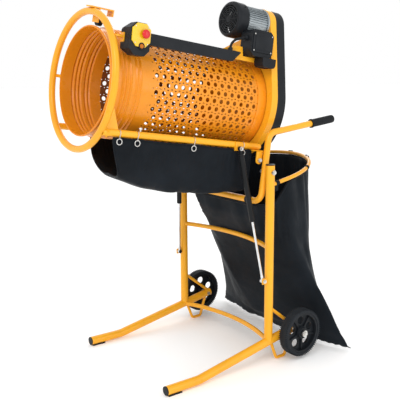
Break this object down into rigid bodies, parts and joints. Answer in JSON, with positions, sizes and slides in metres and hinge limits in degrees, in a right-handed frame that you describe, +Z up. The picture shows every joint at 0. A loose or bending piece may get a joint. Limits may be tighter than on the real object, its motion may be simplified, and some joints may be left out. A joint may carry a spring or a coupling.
{
  "type": "rotary_soil_sieve",
  "caption": "Motorised rotary soil sieve: tilting perforated drum on a wheeled tubular stand, with belt drive, gas struts, cloth apron and sack.",
  "frame": {"origin": "middle of the overall length and width, at floor level", "axes": "+X from the drum's mouth to the handles, +Y to the side away from the switch box, +Z up"},
  "size_m": [1.1223, 0.88, 1.4851],
  "materials": {
    "orange_paint": "gloss powder coat, orange-yellow",
    "drum_paint": "gloss powder coat, deeper orange",
    "black_plastic": "satin moulded plastic",
    "black_rubber": "matt moulded rubber",
    "wheel_tyre": "solid rubber tread",
    "black_cloth": "coated woven cloth",
    "black_steel": "satin black paint",
    "bright_rod": "polished rod",
    "zinc": "bright zinc plate",
    "motor_grey": "cast and ribbed, silver-grey",
    "cast_pulley": "machined casting",
    "yellow_plastic": "gloss yellow plate",
    "red_plastic": "gloss red knob",
    "green_plastic": "gloss green button"
  },
  "bodies": {
    "stand": {"floor_tube_near": "orange_paint", "floor_tube_far": "orange_paint", "upright_near": "orange_paint", "upright_far": "orange_paint", "tube_caps": "black_plastic", "foot_soles": "black_rubber", "loop_feet": "orange_paint", "crossbar_lower": "orange_paint", "crossbar_upper": "orange_paint", "axle_braces": "orange_paint", "axle_bolts": "zinc", "strut_pins": "zinc", "pivot_bolts": "zinc", "sack_ring": "orange_paint", "sack": "black_cloth"},
    "carrier": {"front_hoop": "orange_paint", "rail_near": "orange_paint", "rail_far": "orange_paint", "handle_frame": "orange_paint", "hand_grips": "black_rubber", "lug_plates": "orange_paint", "carrier_bolts": "zinc", "roller_brackets": "orange_paint", "rear_dish": "orange_paint", "belt_guard": "black_plastic", "shaft_bearings": "zinc", "drive_belts": "black_rubber", "motor_body": "motor_grey", "fan_cowl": "black_plastic", "terminal_box": "black_plastic", "power_inlet": "black_plastic", "conduit": "black_plastic", "motor_cable": "black_rubber", "switch_box": "black_plastic", "switch_plate": "yellow_plastic", "electric_brackets": "orange_paint", "strut_brackets": "orange_paint", "apron": "black_cloth", "apron_hooks": "zinc"},
    "drum": {"drum_mouth": "drum_paint", "sieve_sheet": "drum_paint", "drum_rear_band": "drum_paint", "drum_back": "drum_paint", "drum_pulley": "cast_pulley"},
    "top_roller": {"roller_top": "black_plastic"},
    "near_roller": {"roller_near": "black_plastic"},
    "far_roller": {"roller_far": "black_plastic"},
    "rotor": {"motor_rotor": "zinc", "motor_fan": "black_plastic"},
    "countershaft_body": {"countershaft": "cast_pulley"},
    "near_wheel": {"wheel_near": "black_plastic", "tyre_near": "wheel_tyre"},
    "far_wheel": {"wheel_far": "black_plastic", "tyre_far": "wheel_tyre"},
    "near_strut_rod": {"strut_rod_near": "bright_rod"},
    "far_strut_rod": {"strut_rod_far": "bright_rod"},
    "near_strut_tube": {"strut_tube_near": "black_steel"},
    "far_strut_tube": {"strut_tube_far": "black_steel"},
    "stop_button": {"stop_knob": "red_plastic"},
    "start_push": {"start_button": "green_plastic"}
  },
  "joints": [
    {"name": "tilt", "type": "hinge", "parent": "stand", "child": "carrier", "pos_m": [0.154, 0, 0.808], "axis": [0, -1, 0], "range_deg": [0, 45]},
    {"name": "drum_spin", "type": "hinge", "parent": "carrier", "child": "drum", "pos_m": [-0.513, 0, 1.175], "axis": [0.9903, 0, -0.1392], "continuous": true},
    {"name": "top_roller_spin", "type": "hinge", "parent": "carrier", "child": "top_roller", "pos_m": [-0.44828, -0.03136, 1.3912], "axis": [0.9903, 0, -0.1392], "continuous": true},
    {"name": "near_roller_spin", "type": "hinge", "parent": "carrier", "child": "near_roller", "pos_m": [-0.50064, -0.16531, 1.01868], "axis": [0.9903, 0, -0.1392], "continuous": true},
    {"name": "far_roller_spin", "type": "hinge", "parent": "carrier", "child": "far_roller", "pos_m": [-0.4766, 0.22444, 1.18971], "axis": [0.9903, 0, -0.1392], "continuous": true},
    {"name": "countershaft_spin", "type": "hinge", "parent": "carrier", "child": "countershaft_body", "pos_m": [0.28078, -0.062, 1.24723], "axis": [0.9903, 0, -0.1392], "continuous": true},
    {"name": "rotor_spin", "type": "hinge", "parent": "carrier", "child": "rotor", "pos_m": [0.20533, -0.105, 1.40022], "axis": [0.9903, 0, -0.1392], "continuous": true},
    {"name": "near_wheel_spin", "type": "hinge", "parent": "stand", "child": "near_wheel", "pos_m": [0.287, -0.357, 0.118], "axis": [0, 1, 0], "continuous": true},
    {"name": "far_wheel_spin", "type": "hinge", "parent": "stand", "child": "far_wheel", "pos_m": [0.287, 0.357, 0.118], "axis": [0, 1, 0], "continuous": true},
    {"name": "near_strut_swing", "type": "hinge", "parent": "stand", "child": "near_strut_rod", "pos_m": [0.124, -0.3, 0.359], "axis": [-0.2258, -0.9659, 0.127], "range_deg": [0, 6.72]},
    {"name": "near_strut_slide", "type": "slide", "parent": "near_strut_rod", "child": "near_strut_tube", "axis": [-0.0987, 0.1523, 0.9834], "range_m": [-0.0761, 0]},
    {"name": "far_strut_swing", "type": "hinge", "parent": "stand", "child": "far_strut_rod", "pos_m": [0.124, 0.3, 0.359], "axis": [0.2258, -0.9659, -0.127], "range_deg": [0, 6.72]},
    {"name": "far_strut_slide", "type": "slide", "parent": "far_strut_rod", "child": "far_strut_tube", "axis": [-0.0987, -0.1523, 0.9834], "range_m": [-0.0761, 0]},
    {"name": "stop_press", "type": "slide", "parent": "carrier", "child": "stop_button", "axis": [0, 1, 0], "range_m": [0, 0.004]},
    {"name": "start_press", "type": "slide", "parent": "carrier", "child": "start_push", "axis": [0, 1, 0], "range_m": [0, 0.003], "stiffness_N_per_m": 500, "springref_m": -0.002}
  ],
  "couplings": [
    {"joint": "top_roller_spin", "follows": "drum_spin", "ratio": -10.25},
    {"joint": "near_roller_spin", "follows": "drum_spin", "ratio": -10.25},
    {"joint": "far_roller_spin", "follows": "drum_spin", "ratio": -10.25},
    {"joint": "countershaft_spin", "follows": "drum_spin", "ratio": 5.2882},
    {"joint": "rotor_spin", "follows": "drum_spin", "ratio": 26.701},
    {"joint": "near_strut_swing", "follows": "tilt", "ratio": 0.14811},
    {"joint": "near_strut_slide", "follows": "tilt", "m_per_rad": -0.09632},
    {"joint": "far_strut_swing", "follows": "tilt", "ratio": 0.14811},
    {"joint": "far_strut_slide", "follows": "tilt", "m_per_rad": -0.09632}
  ]
}
